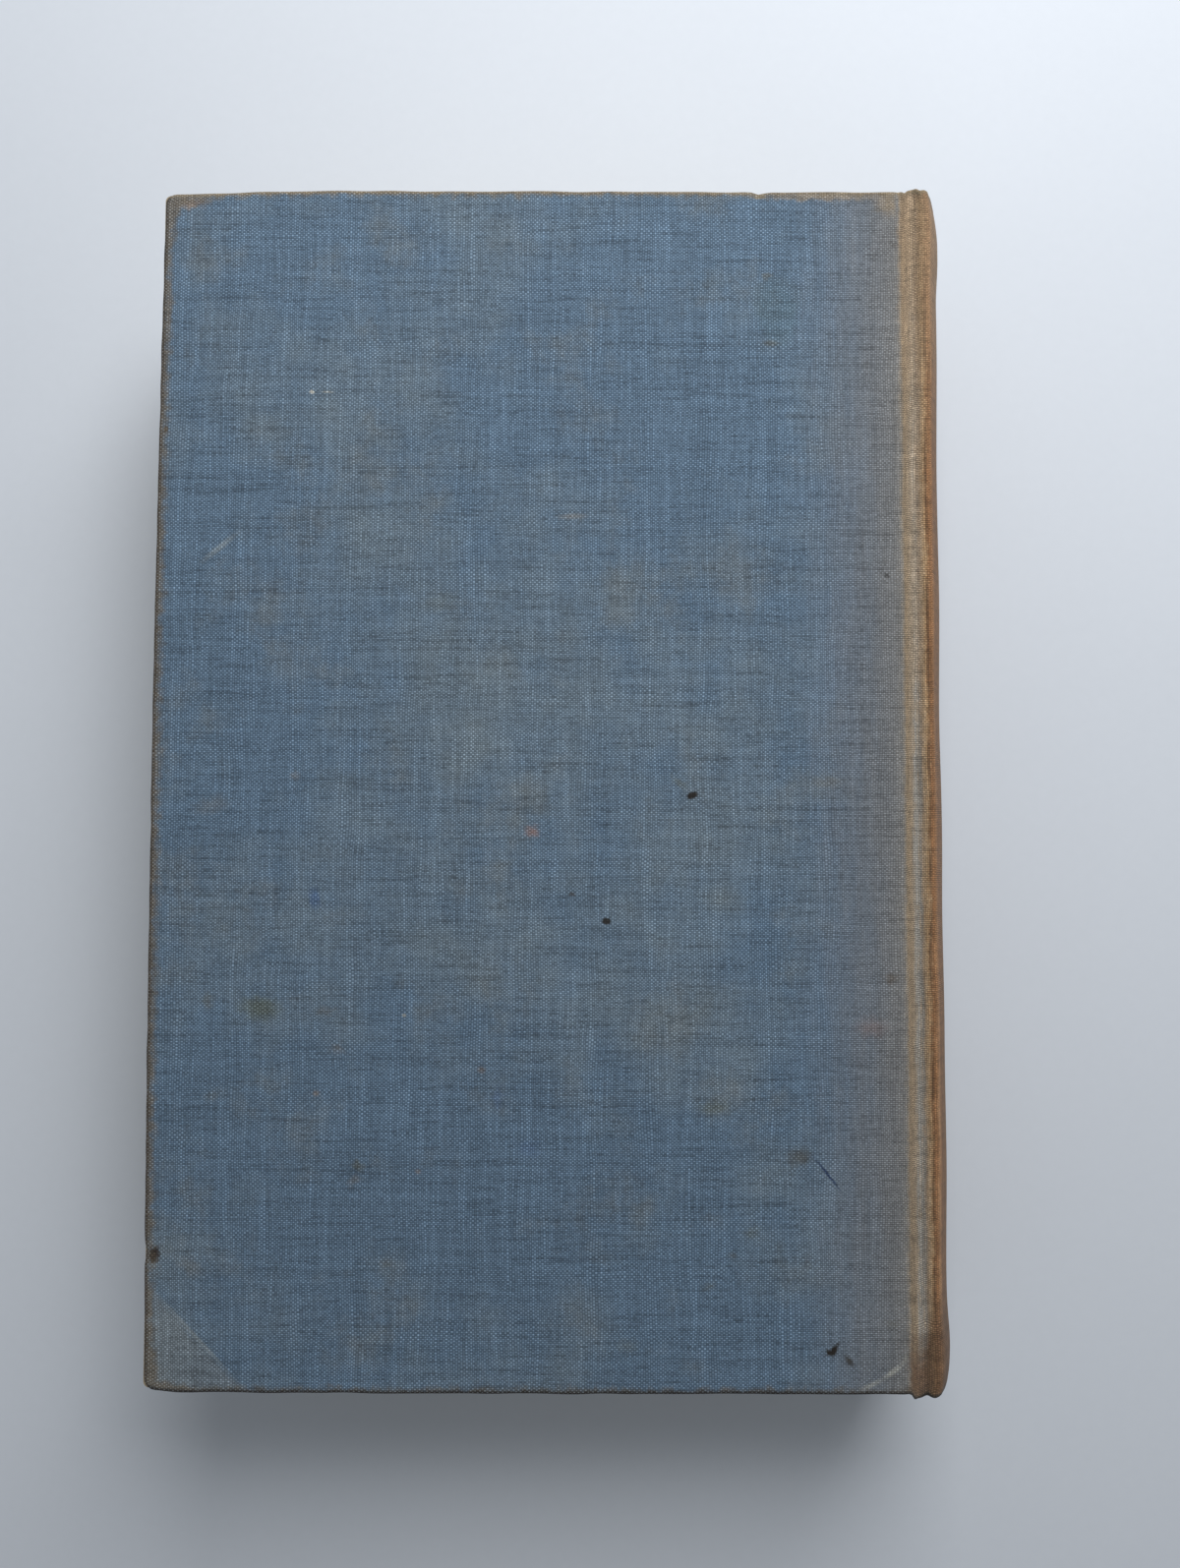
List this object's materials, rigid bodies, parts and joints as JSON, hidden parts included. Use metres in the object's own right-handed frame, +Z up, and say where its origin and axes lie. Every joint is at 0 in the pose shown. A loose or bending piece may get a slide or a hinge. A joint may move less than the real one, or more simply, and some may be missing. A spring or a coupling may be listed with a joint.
{
  "type": "hardback book",
  "caption": "Worn cloth-bound hardback book lying closed, with a rounded back, grooved joints and two covers that open.",
  "frame": {"origin": "middle of the book's bounding box, on the plane that its front cover rests on", "axes": "+X from the fore-edge to the spine, +Y from the tail to the head, +Z up, out of the back cover"},
  "size_m": [0.1508, 0.2232, 0.042],
  "materials": {
    "leaves": "matt, toned at the edges",
    "endpaper": "matt, lightly foxed",
    "lining_paper": "matt brown paper",
    "inlay_card": "matt",
    "binders_board": "matt grey board",
    "mull": "open cotton weave",
    "book_cloth": "faded plain weave"
  },
  "bodies": {
    "text_block": {"page_block": "leaves", "spine_mull": "mull", "spine_lining_paper": "lining_paper", "spine_inlay": "inlay_card", "spine_cloth": "book_cloth", "back_flyleaf": "endpaper", "front_flyleaf": "endpaper"},
    "back_cover": {"back_board": "binders_board", "back_cloth": "book_cloth", "back_mull_flange": "mull", "back_pastedown": "endpaper"},
    "front_cover": {"front_board": "binders_board", "front_cloth": "book_cloth", "front_mull_flange": "mull", "front_pastedown": "endpaper"}
  },
  "joints": [
    {"name": "back_cover_hinge", "type": "hinge", "parent": "text_block", "child": "back_cover", "pos_m": [0.06842, 0, 0.0402], "axis": [0, 1, 0], "range_deg": [0, 178]},
    {"name": "front_cover_hinge", "type": "hinge", "parent": "text_block", "child": "front_cover", "pos_m": [0.06842, 0, 0.0018], "axis": [0, -1, 0], "range_deg": [0, 178]}
  ]
}
